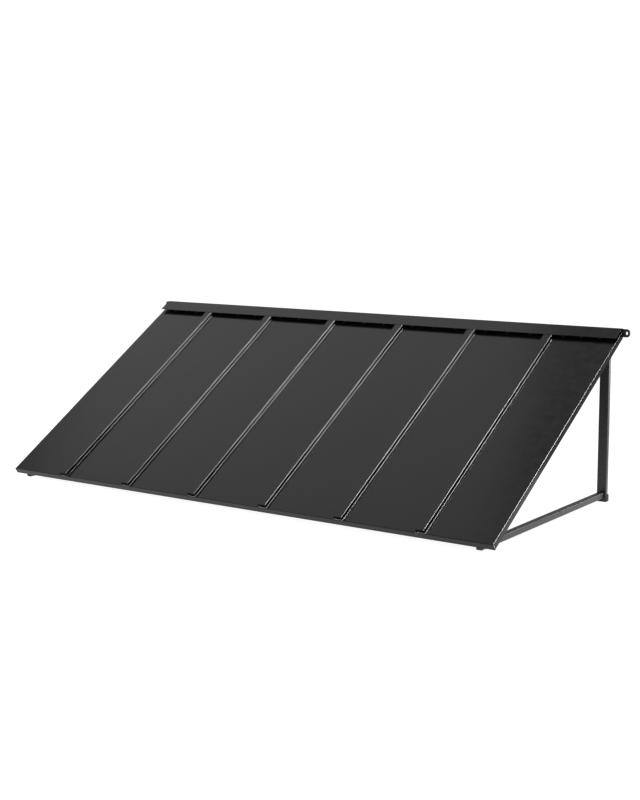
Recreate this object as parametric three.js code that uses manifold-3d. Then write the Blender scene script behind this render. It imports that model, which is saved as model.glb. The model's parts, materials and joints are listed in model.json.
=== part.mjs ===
// Wall-mounted metal awning: seven standing-seam pans, snapped together over hidden clips, on a tube frame.
// Millimetres, +Z up. X runs along the wall, Y = 0 is the wall face and +Y points into the wall.
// Z = 0 is the centre line of the header bar, so the origin is the middle of the bar's wall face.
import * as THREE from "three";
import { mergeVertices } from "three/addons/utils/BufferGeometryUtils.js";
import Module from "manifold-3d";

// Overall sizes
const PANEL_COUNT = 7;
const RIB_PITCH = 304.8;
const END_PANEL = 254; // roof end to the nearest rib's centre line
const PROJECTION = 902; // wall to eave edge
const EAVE_DROP = 548.7; // header centre line down to the eave edge
const RIDGE_GAP = 6.6; // wall to the top of the roof plane
const RIDGE_RISE = 4.7; // top of the roof plane above the header centre line

// Sheet metal
const SHEET = 0.8;
const BEND_RADIUS = 2; // on the sheet's centre line
const TIGHT_RADIUS = 1; // snap lips and hooks
const RIB_WIDTH = 33;
const RIB_HEIGHT = 12.4;
const LIP_REACH = 2.9; // the rib's snap lip, turned in under the hook
const LIP_RISE = 1.2;
const HOOK_INSET = 6; // rib's left face to the hooked upstand inside it
const HOOK_HEIGHT = 5.2;
const HOOK_REACH = 4.1;
const HOOK_DROOP = THREE.MathUtils.degToRad(26);
const HEM_DEPTH = 22; // front face of the eave
const HEM_RETURN = 8; // folded back inside the eave
const FLANGE_DEPTH = 20; // turned down at both roof ends
const NOTCH = 0.6; // relief behind the eave bend
const RIDGE_SETBACK = 3; // pans stop short of the ridge line
const FLASHING_LAP = 56;
const FLASHING_HOOK_CLEARANCE = 1;

// Seam clips
const CLIP_SHEET = 1;
const CLIP_LENGTH = 24;
const CLIP_FOOT_GAP = 3.5; // flat foot on the rail, short of the rib's right leg

// Header bar
const HEADER_HEIGHT = 28;
const HEADER_THICKNESS = 4;
const EAR_REACH = 24; // bar end beyond the roof end
const EAR_RADIUS = 11;
const EAR_SLOT_OFFSET = 13;
const EAR_SLOT_WIDTH = 7.5;
const EAR_SLOT_HEIGHT = 11;
const WALL_SLOT_WIDTH = 14;
const WALL_SLOT_HEIGHT = 7.5;
const WALL_SLOT_DROP = 4; // below the bar's centre line, clear of the pans

// Tube frame
const FRAME_INSET = 57; // roof end to the centre plane of a side frame
const POST_WIDTH = 34;
const POST_DEPTH = 18;
const BAR_SIZE = 21;
const BAR_DROP = 6.3; // eave edge down to the bar's top face
const BAR_TO_HEM = 2.3; // eave hem's rear edge back to the bar's front plug
const RAFTER_WIDTH = 16;
const RAFTER_DEPTH = 30;
const RAIL_SIZE = 16;
const EAVE_RAIL_SETBACK = 42; // eave edge up the slope to the rail's centre
const RAIL_TO_POST = 4;
const TUBE_WALL = 1.5;
const TUBE_CORNER = 2.5;

// Moulded fittings
const PLUG_HEAD = 2.5;
const PLUG_SPIGOT = 14;
const BOOT_WALL = 2.7;
const BOOT_CORNER = 4;
const BOOT_HEIGHT = 24;
const BOOT_DROP = 12.2; // boot's base below the bar's bottom face
const BOOT_SPIGOT = 24;
const CLOSURE_LENGTH = 22; // block inside a rib's open end

// Clearance between pieces that seat on each other
const FIT = 0.3;

// Facets of a bend and of a rounded corner
const BEND_STEP = THREE.MathUtils.degToRad(31);
const CORNER_SEGMENTS = 2;
const SLOT_SEGMENTS = 3;

// Worked-out sizes
const WIDTH = 2 * END_PANEL + (PANEL_COUNT - 2) * RIB_PITCH;
const ROOF_RUN = PROJECTION - RIDGE_GAP;
const ROOF_RISE = EAVE_DROP + RIDGE_RISE;
const SLOPE = Math.atan2(ROOF_RISE, ROOF_RUN);
const SLOPE_LENGTH = Math.hypot(ROOF_RUN, ROOF_RISE);
const HALF_SHEET = SHEET / 2;
const EAVE_BEND = HALF_SHEET + BEND_RADIUS; // where the pan's flat begins behind the eave
const PAN_START = EAVE_BEND + NOTCH;
const PAN_END = SLOPE_LENGTH - RIDGE_SETBACK;
const HEM_THICKNESS = 3 * SHEET;
const HOOK_SETBACK = RIB_WIDTH / 2 - HOOK_INSET; // rib centre to the hooked upstand
const RAIL_TOP = -SHEET - FIT; // square to the slope, under the pans
const FRAME_X = WIDTH / 2 - FRAME_INSET;
const HEADER_FRONT = -HEADER_THICKNESS - FIT; // clear of the header bar's front face
const POST_REAR = HEADER_FRONT;
const POST_FRONT = POST_REAR - POST_DEPTH;
const BAR_TOP = -EAVE_DROP - BAR_DROP;
const BAR_BOTTOM = BAR_TOP - BAR_SIZE;
const BOOT_BASE = BAR_BOTTOM - BOOT_DROP;
const BOOT_FRONT = POST_FRONT - FIT - BOOT_WALL;
const POST_BASE = BOOT_BASE + BOOT_WALL + FIT;

const wasm = await Module();
wasm.setup();

const point = (x, y) => new THREE.Vector2(x, y);

// Height of a plane parallel to the roof, "rise" above it, where it passes the given Y.
function roofHeightAt(y, rise) {
  return RIDGE_RISE + (y + RIDGE_GAP) * Math.tan(SLOPE) + rise / Math.cos(SLOPE);
}

// A point of the roof, given up the slope and square to it, as wall-frame (Y, Z).
function roofPoint(along, rise) {
  return point(along, rise).rotateAround(point(0, 0), SLOPE).add(point(-PROJECTION, -EAVE_DROP));
}

// Solids and booleans

function solidOf(geometry) {
  const bare = geometry.clone();
  bare.deleteAttribute("normal");
  bare.deleteAttribute("uv");
  const merged = mergeVertices(bare);
  const vertProperties = merged.getAttribute("position").array;
  const triVerts = new Uint32Array(merged.index.array);
  return new wasm.Manifold(new wasm.Mesh({ numProp: 3, vertProperties, triVerts }));
}

function geometryOf(solid) {
  const mesh = solid.getMesh();
  const geometry = new THREE.BufferGeometry();
  geometry.setAttribute("position", new THREE.BufferAttribute(mesh.vertProperties, mesh.numProp));
  geometry.setIndex(new THREE.BufferAttribute(mesh.triVerts, 1));
  geometry.computeVertexNormals();
  return geometry;
}

function join(...geometries) {
  return geometryOf(geometries.map(solidOf).reduce((whole, next) => whole.add(next)));
}

function cut(geometry, ...tools) {
  return geometryOf(tools.map(solidOf).reduce((whole, tool) => whole.subtract(tool), solidOf(geometry)));
}

// Profiles carried along an axis

function extrude(shape, length, curveSegments = CORNER_SEGMENTS) {
  return new THREE.ExtrudeGeometry(shape, { depth: length, bevelEnabled: false, curveSegments });
}

// A (y, z) profile from one X to another.
function alongX(shape, from, to) {
  const [x, y, z] = [new THREE.Vector3(1, 0, 0), new THREE.Vector3(0, 1, 0), new THREE.Vector3(0, 0, 1)];
  const turned = new THREE.Matrix4().makeBasis(y, z, x);
  return extrude(shape, to - from).applyMatrix4(turned).translate(from, 0, 0);
}

// An (x, z) profile from one Y to another.
function alongY(shape, from, to, curveSegments) {
  return extrude(shape, to - from, curveSegments).rotateX(Math.PI / 2).translate(0, to, 0);
}

// An (x, y) profile from one Z to another.
function alongZ(shape, from, to) {
  return extrude(shape, to - from).translate(0, 0, from);
}

// A block that trims sheet and tube ends, given by its opposite corners in Y and Z.
function trimBlock(low_y, low_z, high_y, high_z) {
  const block = new THREE.BoxGeometry(2 * WIDTH, high_y - low_y, high_z - low_z);
  return block.translate(0, (low_y + high_y) / 2, (low_z + high_z) / 2);
}

function roundedRectangle(width, height, radius, path = new THREE.Shape()) {
  const [right, top] = [width / 2 - radius, height / 2 - radius];
  path.absarc(right, top, radius, 0, Math.PI / 2);
  path.absarc(-right, top, radius, Math.PI / 2, Math.PI);
  path.absarc(-right, -top, radius, Math.PI, 1.5 * Math.PI);
  path.absarc(right, -top, radius, 1.5 * Math.PI, 2 * Math.PI);
  path.closePath();
  return path;
}

function tubeSection(width, height) {
  const section = roundedRectangle(width, height, TUBE_CORNER);
  const [bore_width, bore_height] = [width - 2 * TUBE_WALL, height - 2 * TUBE_WALL];
  const bore_corner = Math.max(TUBE_CORNER - TUBE_WALL, TUBE_WALL / 2);
  section.holes.push(roundedRectangle(bore_width, bore_height, bore_corner, new THREE.Path()));
  return section;
}

// A plug's spigot fits the bore of a tube with the common clearance.
function spigotSection(width, height) {
  const shrink = 2 * (TUBE_WALL + FIT);
  return roundedRectangle(width - shrink, height - shrink, TUBE_WALL / 2);
}

// Folded sheet: the centre line's corners become arcs, and half a thickness is added on each side.

function bendLine(corners, radii) {
  const line = [corners[0]];
  corners.slice(1, -1).forEach((corner, i) => {
    const incoming = corner.clone().sub(corners[i]).normalize();
    const outgoing = corners[i + 2].clone().sub(corner).normalize();
    const turn = Math.atan2(incoming.cross(outgoing), incoming.dot(outgoing));
    const radius = radii[i];
    const setback = radius * Math.tan(Math.abs(turn) / 2);
    const start = corner.clone().addScaledVector(incoming, -setback);
    const inward = point(-incoming.y, incoming.x).multiplyScalar(Math.sign(turn));
    const centre = start.clone().addScaledVector(inward, radius);
    const steps = Math.ceil(Math.abs(turn) / BEND_STEP);
    for (let step = 0; step <= steps; step += 1) {
      line.push(start.clone().rotateAround(centre, (turn * step) / steps));
    }
  });
  line.push(corners.at(-1));
  return line.filter((spot, i) => i === 0 || spot.distanceTo(line[i - 1]) > HALF_SHEET / 100);
}

function sheetSection(corners, radii, thickness) {
  const line = bendLine(corners, radii);
  const normals = line.slice(1).map((spot, i) => {
    const along = spot.clone().sub(line[i]).normalize();
    return point(-along.y, along.x);
  });
  const side = (reach) =>
    line.map((spot, i) => {
      const before = normals[Math.max(i - 1, 0)];
      const after = normals[Math.min(i, normals.length - 1)];
      const mitre = before.clone().add(after).divideScalar(1 + before.dot(after));
      return spot.clone().addScaledVector(mitre, reach);
    });
  return new THREE.Shape([...side(thickness / 2), ...side(-thickness / 2).reverse()]);
}

// Finishes

function powderCoat() {
  return new THREE.MeshStandardMaterial({ color: 0x2b2c2e, roughness: 0.42, metalness: 0.25 });
}

function blackPlastic() {
  return new THREE.MeshStandardMaterial({ color: 0x121213, roughness: 0.6, metalness: 0 });
}

function zincSteel() {
  return new THREE.MeshStandardMaterial({ color: 0x9aa0a3, roughness: 0.38, metalness: 0.9 });
}

// The roof group's own frame is X along the eave, Y up the slope and Z square to the slope.
const awning = new THREE.Group();
const roof = new THREE.Group();
roof.position.set(0, -PROJECTION, -EAVE_DROP);
roof.rotation.x = SLOPE;
awning.add(roof);

function place(group, name, geometry, material) {
  const mesh = new THREE.Mesh(geometry, material);
  mesh.name = name;
  group.add(mesh);
}

// Pans

const ROOF_LEFT = -WIDTH / 2;
const ROOF_RIGHT = WIDTH / 2;
const ribs = Array.from({ length: PANEL_COUNT - 1 }, (_, i) => ROOF_LEFT + END_PANEL + i * RIB_PITCH);

// The rib cover on a pan's left edge, from its snap lip round to the foot where the flat begins.
function ribCover(rib) {
  const leg = RIB_WIDTH / 2 - HALF_SHEET;
  const top = RIB_HEIGHT - HALF_SHEET;
  const lip = FIT + HALF_SHEET;
  return {
    corners: [
      point(rib - leg + LIP_REACH, lip + LIP_RISE),
      point(rib - leg, lip),
      point(rib - leg, top),
      point(rib + leg, top),
      point(rib + leg, -HALF_SHEET),
    ],
    radii: [TIGHT_RADIUS, BEND_RADIUS, BEND_RADIUS, BEND_RADIUS],
  };
}

// The hooked upstand on a pan's right edge, inside the next rib; "offset" gives the line of a clip over it.
function hookedEdge(rib, offset = 0) {
  const leg = rib - HOOK_SETBACK + offset;
  const top = HOOK_HEIGHT + (offset * (1 + Math.sin(HOOK_DROOP))) / Math.cos(HOOK_DROOP);
  const reach = point(-Math.cos(HOOK_DROOP), -Math.sin(HOOK_DROOP)).multiplyScalar(HOOK_REACH + offset);
  return [point(leg, top), point(leg, top).add(reach)];
}

// A flange turned down at a roof end, from its free edge to the flat.
function endFlange(end) {
  const centre = end - Math.sign(end) * HALF_SHEET;
  return [point(centre, -FLANGE_DEPTH), point(centre, -HALF_SHEET)];
}

function panSection(left_rib, right_rib) {
  const corners = [];
  const radii = [];
  if (left_rib === undefined) {
    corners.push(...endFlange(ROOF_LEFT));
    radii.push(BEND_RADIUS);
  } else {
    const cover = ribCover(left_rib);
    corners.push(...cover.corners);
    radii.push(...cover.radii);
  }
  if (right_rib === undefined) {
    corners.push(...endFlange(ROOF_RIGHT).reverse());
    radii.push(BEND_RADIUS);
  } else {
    corners.push(point(right_rib - HOOK_SETBACK, -HALF_SHEET), ...hookedEdge(right_rib));
    radii.push(BEND_RADIUS, TIGHT_RADIUS);
  }
  return sheetSection(corners, radii, SHEET);
}

// The eave fold: bend, front face and closed return. "flat" is how far it laps onto the pan's flat.
function hemSection(flat) {
  const inner = HALF_SHEET + 2 * SHEET;
  const corners = [
    point(EAVE_BEND + flat, -HALF_SHEET),
    point(HALF_SHEET, -HALF_SHEET),
    point(HALF_SHEET, HALF_SHEET - HEM_DEPTH),
    point(inner, HALF_SHEET - HEM_DEPTH),
    point(inner, HEM_RETURN - HEM_DEPTH),
  ];
  return sheetSection(corners, [BEND_RADIUS, SHEET, SHEET], SHEET);
}

// The hem starts at the left foot of a pan's own rib, passes below the rib's open end
// as a free tab, and stops short of the next rib's left foot. An end flange is cut upright at the header bar.
function pan(left_rib, right_rib) {
  const bend_width = HALF_SHEET + BEND_RADIUS;
  const lap = NOTCH + 2 * SHEET;
  const hem_left = left_rib === undefined ? ROOF_LEFT : left_rib - RIB_WIDTH / 2 + FIT;
  const hem_right = right_rib === undefined ? ROOF_RIGHT : right_rib - RIB_WIDTH / 2 - FIT;
  const flat_left = left_rib === undefined ? ROOF_LEFT + bend_width : left_rib + RIB_WIDTH / 2 + bend_width;
  const flat_right = right_rib === undefined ? ROOF_RIGHT - bend_width : hem_right;
  const folded = join(
    alongY(panSection(left_rib, right_rib), PAN_START, PAN_END),
    alongX(hemSection(lap), flat_left, flat_right),
    alongX(hemSection(0), hem_left, hem_right),
  );
  const behind_header = trimBlock(HEADER_FRONT, -PROJECTION, PROJECTION, PROJECTION);
  return cut(folded, behind_header.translate(0, PROJECTION, EAVE_DROP).rotateX(-SLOPE));
}

for (let i = 0; i < PANEL_COUNT; i += 1) {
  place(roof, `panel_${i + 1}`, pan(ribs[i - 1], ribs[i]), powderCoat());
}

// Ridge flashing: laps the ribs, turns level over the pans' ends and hooks down in front of the header bar.
function flashing() {
  const rise = RIB_HEIGHT + FIT + HALF_SHEET;
  const lip = roofPoint(SLOPE_LENGTH - FLASHING_LAP, rise);
  const ridge = roofPoint(SLOPE_LENGTH, rise);
  const hook = HEADER_FRONT - HALF_SHEET;
  const hook_end = roofHeightAt(hook, 0) + FLASHING_HOOK_CLEARANCE;
  const corners = [lip, ridge, point(hook, ridge.y), point(hook, hook_end)];
  return alongX(sheetSection(corners, [BEND_RADIUS, BEND_RADIUS], SHEET), ROOF_LEFT, ROOF_RIGHT);
}

place(awning, "ridge_flashing", flashing(), powderCoat());

// Header bar: a flat bar with a slotted, rounded ear beyond each roof end and wall slots under the ribs.

function slot(width, height, x, z) {
  const radius = Math.min(width, height) / 2;
  const shape = roundedRectangle(width, height, radius);
  const depth = 2 * HEADER_THICKNESS;
  return alongY(shape, -depth, depth, SLOT_SEGMENTS).translate(x, 0, z);
}

function headerBar() {
  const outline = roundedRectangle(WIDTH + 2 * EAR_REACH, HEADER_HEIGHT, EAR_RADIUS);
  const ear = WIDTH / 2 + EAR_SLOT_OFFSET;
  return cut(
    alongY(outline, -HEADER_THICKNESS, 0, SLOT_SEGMENTS),
    ...[-ear, ear].map((x) => slot(EAR_SLOT_WIDTH, EAR_SLOT_HEIGHT, x, 0)),
    ...ribs.map((x) => slot(WALL_SLOT_WIDTH, WALL_SLOT_HEIGHT, x, -WALL_SLOT_DROP)),
  );
}

place(awning, "header_bar", headerBar(), powderCoat());

// Tube frame

// A rafter on edge: trimmed upright against what holds its top, and level at the top face of the bottom bars.
function rafter(top_y) {
  const section = tubeSection(RAFTER_WIDTH, RAFTER_DEPTH);
  const start = HEM_THICKNESS + 2 * SHEET;
  const blank = alongY(section, start, SLOPE_LENGTH + RAFTER_DEPTH);
  blank.translate(0, 0, RAIL_TOP - RAFTER_DEPTH / 2);
  blank.rotateX(SLOPE).translate(0, -PROJECTION, -EAVE_DROP);
  const upright = trimBlock(top_y, -PROJECTION, PROJECTION, PROJECTION);
  const foot = BAR_TOP + FIT;
  const level = trimBlock(-2 * PROJECTION, foot - PROJECTION, PROJECTION, foot);
  return cut(blank, upright, level);
}

function rail(from, to, centre) {
  const section = tubeSection(RAIL_SIZE, RAIL_SIZE);
  return alongX(section, from, to).translate(0, centre, RAIL_TOP - RAIL_SIZE / 2);
}

const RAIL_OUTER = FRAME_X - RAFTER_WIDTH / 2 - FIT;
const RAIL_INNER = RAFTER_WIDTH / 2 + FIT;
const RAIL_UNDERSIDE = RAIL_TOP - RAIL_SIZE;
const TOP_RAIL_REAR =
  (PROJECTION + POST_FRONT - RAIL_TO_POST + RAIL_UNDERSIDE * Math.sin(SLOPE)) / Math.cos(SLOPE);
const TOP_RAIL_CENTRE = TOP_RAIL_REAR - RAIL_SIZE / 2;
const rails = {
  eave: EAVE_RAIL_SETBACK,
  middle: (EAVE_RAIL_SETBACK + TOP_RAIL_CENTRE) / 2,
  top: TOP_RAIL_CENTRE,
};

for (const [row, centre] of Object.entries(rails)) {
  place(roof, `${row}_rail_left`, rail(-RAIL_OUTER, -RAIL_INNER, centre), powderCoat());
  place(roof, `${row}_rail_right`, rail(RAIL_INNER, RAIL_OUTER, centre), powderCoat());
}

place(awning, "middle_rafter", rafter(HEADER_FRONT), powderCoat());

// A plug for a tube end: its head covers the end and its spigot fits the bore. The head's top is at Z = 0.
function plug(width, depth) {
  const head = roundedRectangle(width, depth, TUBE_CORNER);
  const spigot_end = -PLUG_HEAD - PLUG_SPIGOT;
  return join(
    alongZ(head, -PLUG_HEAD, 0),
    alongZ(spigotSection(width, depth), spigot_end, -PLUG_HEAD / 2),
  );
}

// The corner boot: a cup for the post's foot whose rear wall bears on the wall,
// with a pad and a spigot for the rear end of the bottom bar.
function boot() {
  const outer_width = POST_WIDTH + 2 * (FIT + BOOT_WALL);
  const middle_y = (POST_FRONT + POST_REAR) / 2;
  const shell = roundedRectangle(outer_width, -BOOT_FRONT, BOOT_CORNER);
  const cavity = roundedRectangle(POST_WIDTH + 2 * FIT, POST_DEPTH + 2 * FIT, TUBE_CORNER);
  const bar_middle = (BAR_TOP + BAR_BOTTOM) / 2;
  const pad = new THREE.BoxGeometry(BAR_SIZE, BOOT_WALL, BAR_TOP - BOOT_BASE);
  const cup = join(
    alongZ(shell, BOOT_BASE, BOOT_BASE + BOOT_HEIGHT).translate(0, BOOT_FRONT / 2, 0),
    pad.translate(0, BOOT_FRONT + BOOT_WALL / 2, (BAR_TOP + BOOT_BASE) / 2),
    alongY(spigotSection(BAR_SIZE, BAR_SIZE), BOOT_FRONT - BOOT_SPIGOT, BOOT_FRONT + BOOT_WALL / 2)
      .translate(0, 0, bar_middle),
  );
  return cut(cup, alongZ(cavity, BOOT_BASE + BOOT_WALL, BAR_TOP + BOOT_HEIGHT).translate(0, middle_y, 0));
}

const POST_PLUG_TOP = roofHeightAt(POST_FRONT, -SHEET - FIT);
const POST_TOP = POST_PLUG_TOP - PLUG_HEAD - FIT;
const BAR_PLUG_FRONT = roofPoint(HEM_THICKNESS, -HEM_DEPTH).x + BAR_TO_HEM;
const BAR_FRONT = BAR_PLUG_FRONT + PLUG_HEAD + FIT;
const BAR_REAR = BOOT_FRONT - FIT;

for (const [side, x] of [["left", -FRAME_X], ["right", FRAME_X]]) {
  const frame = new THREE.Group();
  frame.position.x = x;
  awning.add(frame);
  const post_y = (POST_FRONT + POST_REAR) / 2;
  const bar_z = (BAR_TOP + BAR_BOTTOM) / 2;
  const post = alongZ(tubeSection(POST_WIDTH, POST_DEPTH), POST_BASE, POST_TOP).translate(0, post_y, 0);
  const bar = alongY(tubeSection(BAR_SIZE, BAR_SIZE), BAR_FRONT, BAR_REAR).translate(0, 0, bar_z);
  const post_plug = plug(POST_WIDTH, POST_DEPTH).translate(0, post_y, POST_PLUG_TOP);
  const bar_plug = plug(BAR_SIZE, BAR_SIZE).rotateX(Math.PI / 2).translate(0, BAR_PLUG_FRONT, bar_z);
  place(frame, `${side}_post`, post, powderCoat());
  place(frame, `${side}_bottom_bar`, bar, powderCoat());
  place(frame, `${side}_rafter`, rafter(POST_FRONT - FIT), powderCoat());
  place(frame, `${side}_corner_boot`, boot(), blackPlastic());
  place(frame, `${side}_post_plug`, post_plug, blackPlastic());
  place(frame, `${side}_bar_plug`, bar_plug, blackPlastic());
}

// Seam clips: a foot on the rail between two pans, a leg, and a hook over the left pan's upstand.
function clip(rib, centre) {
  const offset = HALF_SHEET + FIT + CLIP_SHEET / 2;
  const foot = RAIL_TOP + FIT + CLIP_SHEET / 2;
  const [top, tip] = hookedEdge(rib, offset);
  const foot_end = rib + RIB_WIDTH / 2 - SHEET - CLIP_FOOT_GAP;
  const corners = [point(foot_end, foot), point(top.x, foot), top, tip];
  const section = sheetSection(corners, [TIGHT_RADIUS, TIGHT_RADIUS], CLIP_SHEET);
  return alongY(section, centre - CLIP_LENGTH / 2, centre + CLIP_LENGTH / 2);
}

for (const [row, centre] of Object.entries(rails)) {
  ribs.forEach((rib, i) => place(roof, `${row}_clip_${i + 1}`, clip(rib, centre), zincSteel()));
}

// Rib closures: a block in each rib's open end at the eave, between the hooked upstand and the rib's right leg.
function closure(rib) {
  const left = rib - HOOK_SETBACK + HALF_SHEET + FIT;
  const right = rib + RIB_WIDTH / 2 - SHEET - FIT;
  const top = RIB_HEIGHT - SHEET - FIT;
  const section = new THREE.Shape();
  section.moveTo(left, -SHEET);
  section.lineTo(right, -SHEET);
  section.absarc(right - BEND_RADIUS, top - BEND_RADIUS, BEND_RADIUS, 0, Math.PI / 2);
  section.lineTo(left, top);
  section.closePath();
  const front = PAN_START + FIT;
  return alongY(section, front, front + CLOSURE_LENGTH);
}

ribs.forEach((rib, i) => place(roof, `rib_closure_${i + 1}`, closure(rib), blackPlastic()));

export default awning;
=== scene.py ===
"""Metal awning: folded roof sheets, tube frame, fittings and stage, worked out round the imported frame.

Metres, +Z up. X runs along the wall, Y = 0 is the wall face and +Y points into the wall.
"""
import json
import math

import bpy
import numpy as np
from mathutils import Matrix, Vector

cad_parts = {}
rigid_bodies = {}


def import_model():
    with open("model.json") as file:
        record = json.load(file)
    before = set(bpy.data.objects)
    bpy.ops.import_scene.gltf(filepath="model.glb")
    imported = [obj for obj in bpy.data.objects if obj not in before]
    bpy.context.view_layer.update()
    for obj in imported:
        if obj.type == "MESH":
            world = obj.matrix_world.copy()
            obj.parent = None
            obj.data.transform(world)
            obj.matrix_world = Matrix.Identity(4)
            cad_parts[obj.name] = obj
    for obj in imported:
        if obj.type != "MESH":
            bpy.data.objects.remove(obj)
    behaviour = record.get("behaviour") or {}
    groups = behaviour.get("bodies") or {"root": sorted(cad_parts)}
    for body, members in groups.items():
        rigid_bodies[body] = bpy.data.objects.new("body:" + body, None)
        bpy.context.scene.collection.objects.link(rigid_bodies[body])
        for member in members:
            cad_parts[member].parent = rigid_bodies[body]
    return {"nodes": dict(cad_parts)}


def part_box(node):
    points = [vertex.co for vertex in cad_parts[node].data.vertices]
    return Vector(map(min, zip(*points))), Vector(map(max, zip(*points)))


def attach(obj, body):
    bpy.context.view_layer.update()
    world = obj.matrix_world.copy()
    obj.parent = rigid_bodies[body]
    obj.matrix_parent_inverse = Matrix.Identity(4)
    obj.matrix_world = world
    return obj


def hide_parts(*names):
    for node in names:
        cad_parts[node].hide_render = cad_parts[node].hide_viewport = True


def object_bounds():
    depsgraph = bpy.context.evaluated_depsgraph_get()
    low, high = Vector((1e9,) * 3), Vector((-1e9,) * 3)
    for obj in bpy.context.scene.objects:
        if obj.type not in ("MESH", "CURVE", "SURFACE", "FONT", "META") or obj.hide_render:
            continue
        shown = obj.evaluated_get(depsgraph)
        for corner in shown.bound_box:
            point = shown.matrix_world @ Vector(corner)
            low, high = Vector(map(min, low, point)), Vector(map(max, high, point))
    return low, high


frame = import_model()
CAD_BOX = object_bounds()

bl_info = {
    "name": "Metal awning",
    "version": (1, 0, 0),
    "blender": (4, 5, 0),
    "location": "View3D > Sidebar > Awning",
    "description": "Folded roof sheets, tube frame, fittings and stage of a wall-mounted metal awning",
    "category": "Object",
}

BODY = "root"
SIDES = ("left", "right")
RAFTERS = ("left", "middle", "right")
RAIL_ROWS = ("eave", "middle", "top")
PAN_COUNT = sum(name.startswith("panel_") for name in frame["nodes"])
RIB_COUNT = PAN_COUNT - 1

# Fineness of the meshes
BEND_STEP = math.radians(9)
CORNER_STEPS = 6
PAN_ROWS = 64
FLAT_COLUMNS = 22
FLASHING_COLUMNS = 90
BEAD_RINGS = 41
BEAD_SIDES = 12
SCREW_SIDES = 36
FLOOR_RINGS = 24
FLOOR_SIDES = 96

# Edges sharper than this are rounded, those of mouldings and screws by these radii
SHARP = math.radians(40)
BOOT_EDGE = 0.0003
SMALL_EDGE = 0.0002

# Slow and quick waves along a flat sheet, and their shift from pan to pan
SLOW_WAVES = 1.7
QUICK_WAVES = 3.1
WAVE_SHIFT = 0.618

# A direction that no weld bead runs along
SKEW = (0.31, 0.57, 0.76)

# Screw heads from the seat up: shares of the half width and of the height, and whether a loop is six-sided
HEX_HEAD = (
    (1.75, 0.0, False),
    (1.75, 0.14, False),
    (1.2, 0.26, False),
    (1.0, 0.3, True),
    (1.0, 0.86, True),
    (0.8, 1.0, False),
)
PAN_HEAD = (
    (1.0, 0.0, False),
    (1.0, 0.14, False),
    (0.96, 0.26, False),
    (0.86, 0.55, False),
    (0.6, 0.86, False),
    (0.3, 1.0, False),
)
HEXAGON = 6

# Thickness of a seam clip, whose foot lies under its screw
CLIP_SHEET = 0.001

# Soft lights: place, width and height, and the brightness of the white backdrop
EDGE_PLACE = (1.6, 0.4, 8.0)
EDGE_SIZE = (2.6, 2.6)
FILL_PLACE = (-2.5, 0.35, 2.7)
FILL_AIM = (-2.5, 0.35, 0)
FILL_SIZE = (3.6, 2.0)
FRONT_PLACE = (-3.2, -4.6, 0.9)
FRONT_SIZE = (2.4, 1.2)
SIDE_PLACE = (3.1, 3.0, -0.15)
SIDE_SIZE = (1.6, 0.8)
BACKDROP = 1.1


# Sizes and colours that a user would change


def length(label, words, default):
    return bpy.props.FloatProperty(
        name=label, description=words, default=default, precision=5, unit="LENGTH", subtype="DISTANCE"
    )


def angle(label, words, degrees):
    return bpy.props.FloatProperty(
        name=label, description=words, default=math.radians(degrees), unit="ROTATION", subtype="ANGLE"
    )


def share(label, words, default):
    return bpy.props.FloatProperty(
        name=label, description=words, default=default, min=0, max=1, subtype="FACTOR"
    )


def colour(label, words, default):
    return bpy.props.FloatVectorProperty(
        name=label, description=words, default=default, size=3, min=0, max=1, subtype="COLOR"
    )


def place(label, words, default):
    return bpy.props.FloatVectorProperty(
        name=label, description=words, default=default, size=3, unit="LENGTH", subtype="TRANSLATION"
    )


def radiance(label, words, default):
    return bpy.props.FloatProperty(name=label, description=words, default=default, min=0, subtype="NONE")


class AwningRoofSizes(bpy.types.PropertyGroup):
    """Folded roof sheets, measured up the slope and square to it."""

    sheet: length("Sheet", "Thickness of the roof sheet", 0.0008)
    bend: length("Bend", "Bend radius on the sheet's centre line", 0.002)
    lip_bend: length("Lip bend", "Bend radius of snap lips and hooks", 0.001)
    rib_width: length("Rib width", "Width of a standing rib", 0.033)
    rib_height: length("Rib height", "Height of a rib above the pans", 0.0124)
    lip_reach: length("Lip reach", "Snap lip turned in under the hook", 0.0029)
    lip_rise: length("Lip rise", "Rise of the snap lip towards its edge", 0.0012)
    hook_inset: length("Hook inset", "Rib's left face to the hooked upstand inside it", 0.006)
    hook_height: length("Hook height", "Top of the hooked upstand", 0.0052)
    hook_reach: length("Hook reach", "Length of the hook", 0.0041)
    hook_droop: angle("Hook droop", "Downward tilt of the hook", 26)
    hem_depth: length("Hem depth", "Front face of the eave", 0.022)
    hem_return: length("Hem return", "Sheet folded back inside the eave", 0.008)
    flange_depth: length("Flange depth", "Edge turned down at both roof ends", 0.02)
    notch: length("Notch", "Relief behind the eave bend", 0.0006)
    ridge_setback: length("Ridge setback", "Pans stop this far short of the ridge line", 0.003)
    flashing_lap: length("Flashing lap", "Ridge flashing over the pans", 0.056)
    hook_gap: length("Hook gap", "Flashing's rear hook above the roof plane", 0.001)
    crown: length("Crown", "Soft waviness of the flat sheets", 0.0005)
    fit: length("Fit", "Clearance between pieces that seat on each other", 0.0003)


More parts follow.
